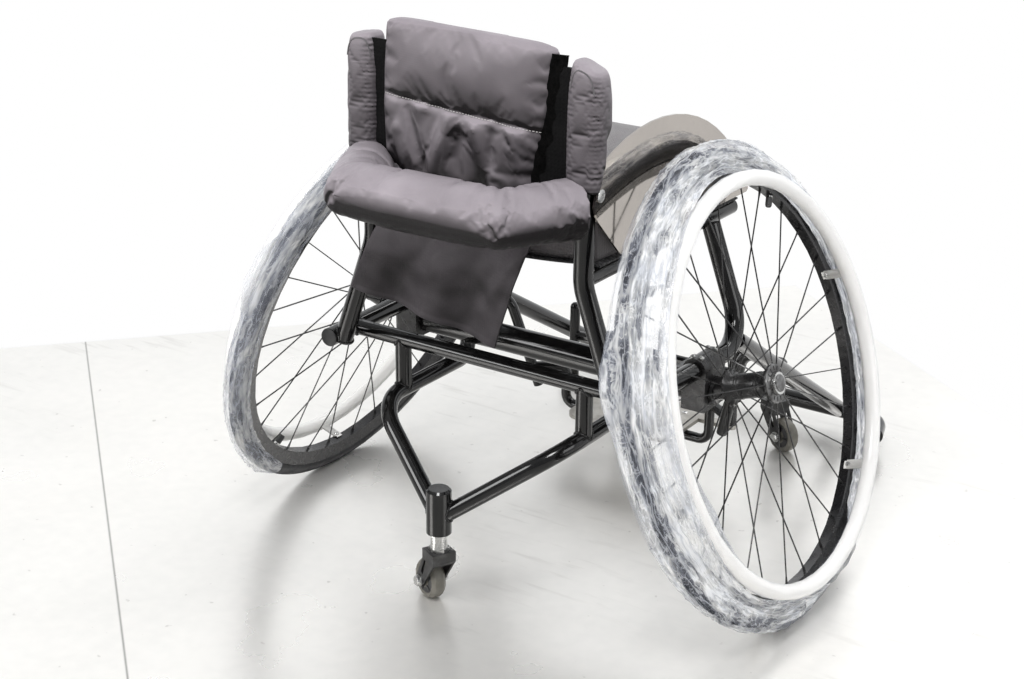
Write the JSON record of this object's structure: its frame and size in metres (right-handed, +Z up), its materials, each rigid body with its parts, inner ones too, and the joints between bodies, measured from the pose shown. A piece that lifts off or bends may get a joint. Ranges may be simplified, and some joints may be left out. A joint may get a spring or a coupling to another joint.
{
  "type": "basketball wheelchair",
  "caption": "Rigid-frame basketball wheelchair with cambered spoked wheels, padded backrest, side guards, footplate and small swivel casters.",
  "frame": {"origin": "on the floor, under the middle of the chair's bounding box", "axes": "+X to the sitter's right, +Y the way the sitter faces, +Z up"},
  "size_m": [0.8582, 0.8894, 0.742],
  "materials": {
    "black_paint": "gloss black powder coat",
    "black_metal": "satin black anodised metal",
    "black_nylon": "dark grey woven nylon",
    "seat_cloth": "dark grey cushion cover",
    "sling_cloth": "black webbing sling",
    "tyre_rubber": "matt black rubber",
    "rim_anodised": "satin black anodised rim",
    "handrim_grip": "white coated push ring",
    "bright_steel": "bright plated steel",
    "caster_tread": "grey-beige caster tyre",
    "fork_black": "black moulded fork",
    "plate_alloy": "brushed plate",
    "guard_laminate": "glossy dark laminate"
  },
  "bodies": {
    "frame": {"axle_left": "bright_steel", "axle_receiver_left": "black_metal", "axle_receiver_right": "black_metal", "axle_right": "bright_steel", "back_post_left": "black_paint", "back_post_right": "black_paint", "backrest_flap": "black_nylon", "backrest_panel": "black_nylon", "camber_clamp_left": "black_metal", "camber_clamp_right": "black_metal", "camber_tube": "black_metal", "footplate": "plate_alloy", "footplate_cradle": "black_paint", "footrest_crossbar": "black_paint", "footrest_hanger_left": "black_paint", "footrest_hanger_right": "black_paint", "footrest_rod_left": "black_paint", "footrest_rod_right": "black_paint", "front_bumper": "black_paint", "front_caster_housing_left": "black_paint", "front_caster_housing_right": "black_paint", "front_tube_left": "black_paint", "front_tube_right": "black_paint", "lower_post_left": "black_paint", "lower_post_right": "black_paint", "lower_tube_left": "black_paint", "lower_tube_right": "black_paint", "push_bar": "black_paint", "push_bar_pad": "black_nylon", "rear_caster_housing": "black_paint", "rear_cross_tube": "black_paint", "seat_cushion": "seat_cloth", "seat_rail_left": "black_paint", "seat_rail_right": "black_paint", "seat_sling": "sling_cloth", "side_bolster_left": "black_nylon", "side_bolster_right": "black_nylon", "side_guard_left": "guard_laminate", "side_guard_right": "guard_laminate", "side_tube_left": "black_paint", "side_tube_right": "black_paint"},
    "drive_wheel_right": {"tyre_right": "tyre_rubber", "rim_right": "rim_anodised", "hub_and_spokes_right": "black_metal", "handrim_right": "handrim_grip"},
    "button_right": {"release_button_right": "bright_steel"},
    "drive_wheel_left": {"tyre_left": "tyre_rubber", "rim_left": "rim_anodised", "hub_and_spokes_left": "black_metal", "handrim_left": "handrim_grip"},
    "button_left": {"release_button_left": "bright_steel"},
    "rear_swivel": {"rear_caster_fork": "fork_black", "rear_caster_bolt": "bright_steel"},
    "rear_roller": {"rear_caster_wheel": "caster_tread"},
    "front_right_swivel": {"front_right_caster_fork": "fork_black", "front_right_caster_bolt": "bright_steel"},
    "front_right_roller": {"front_right_caster_wheel": "caster_tread"},
    "front_left_swivel": {"front_left_caster_fork": "fork_black", "front_left_caster_bolt": "bright_steel"},
    "front_left_roller": {"front_left_caster_wheel": "caster_tread"}
  },
  "joints": [
    {"name": "spin_right", "type": "hinge", "parent": "frame", "child": "drive_wheel_right", "pos_m": [0.3005, -0.11953, 0.28941], "axis": [0.9505, 0, 0.3107], "continuous": true},
    {"name": "press_right", "type": "slide", "parent": "frame", "child": "button_right", "axis": [-0.9505, 0, -0.3107], "range_m": [0, 0.003], "stiffness_N_per_m": 400},
    {"name": "spin_left", "type": "hinge", "parent": "frame", "child": "drive_wheel_left", "pos_m": [-0.3005, -0.11953, 0.28941], "axis": [-0.9505, 0, 0.3107], "continuous": true},
    {"name": "press_left", "type": "slide", "parent": "frame", "child": "button_left", "axis": [0.9505, 0, -0.3107], "range_m": [0, 0.003], "stiffness_N_per_m": 400},
    {"name": "rear_caster_swivel", "type": "hinge", "parent": "frame", "child": "rear_swivel", "pos_m": [0, -0.38513, 0.0262], "axis": [0, 0, 1], "continuous": true},
    {"name": "rear_caster_roll", "type": "hinge", "parent": "rear_swivel", "child": "rear_roller", "pos_m": [-0.02121, -0.37478, 0.0262], "axis": [-0.4384, -0.8988, 0], "continuous": true},
    {"name": "front_right_caster_swivel", "type": "hinge", "parent": "frame", "child": "front_right_swivel", "pos_m": [0.135, 0.31847, 0.0262], "axis": [0, 0, 1], "continuous": true},
    {"name": "front_right_caster_roll", "type": "hinge", "parent": "front_right_swivel", "child": "front_right_roller", "pos_m": [0.15688, 0.30963, 0.0262], "axis": [0.3746, 0.9272, 0], "continuous": true},
    {"name": "front_left_caster_swivel", "type": "hinge", "parent": "frame", "child": "front_left_swivel", "pos_m": [-0.135, 0.31847, 0.0262], "axis": [0, 0, 1], "continuous": true},
    {"name": "front_left_caster_roll", "type": "hinge", "parent": "front_left_swivel", "child": "front_left_roller", "pos_m": [-0.11436, 0.30703, 0.0262], "axis": [0.4848, 0.8746, 0], "continuous": true}
  ]
}
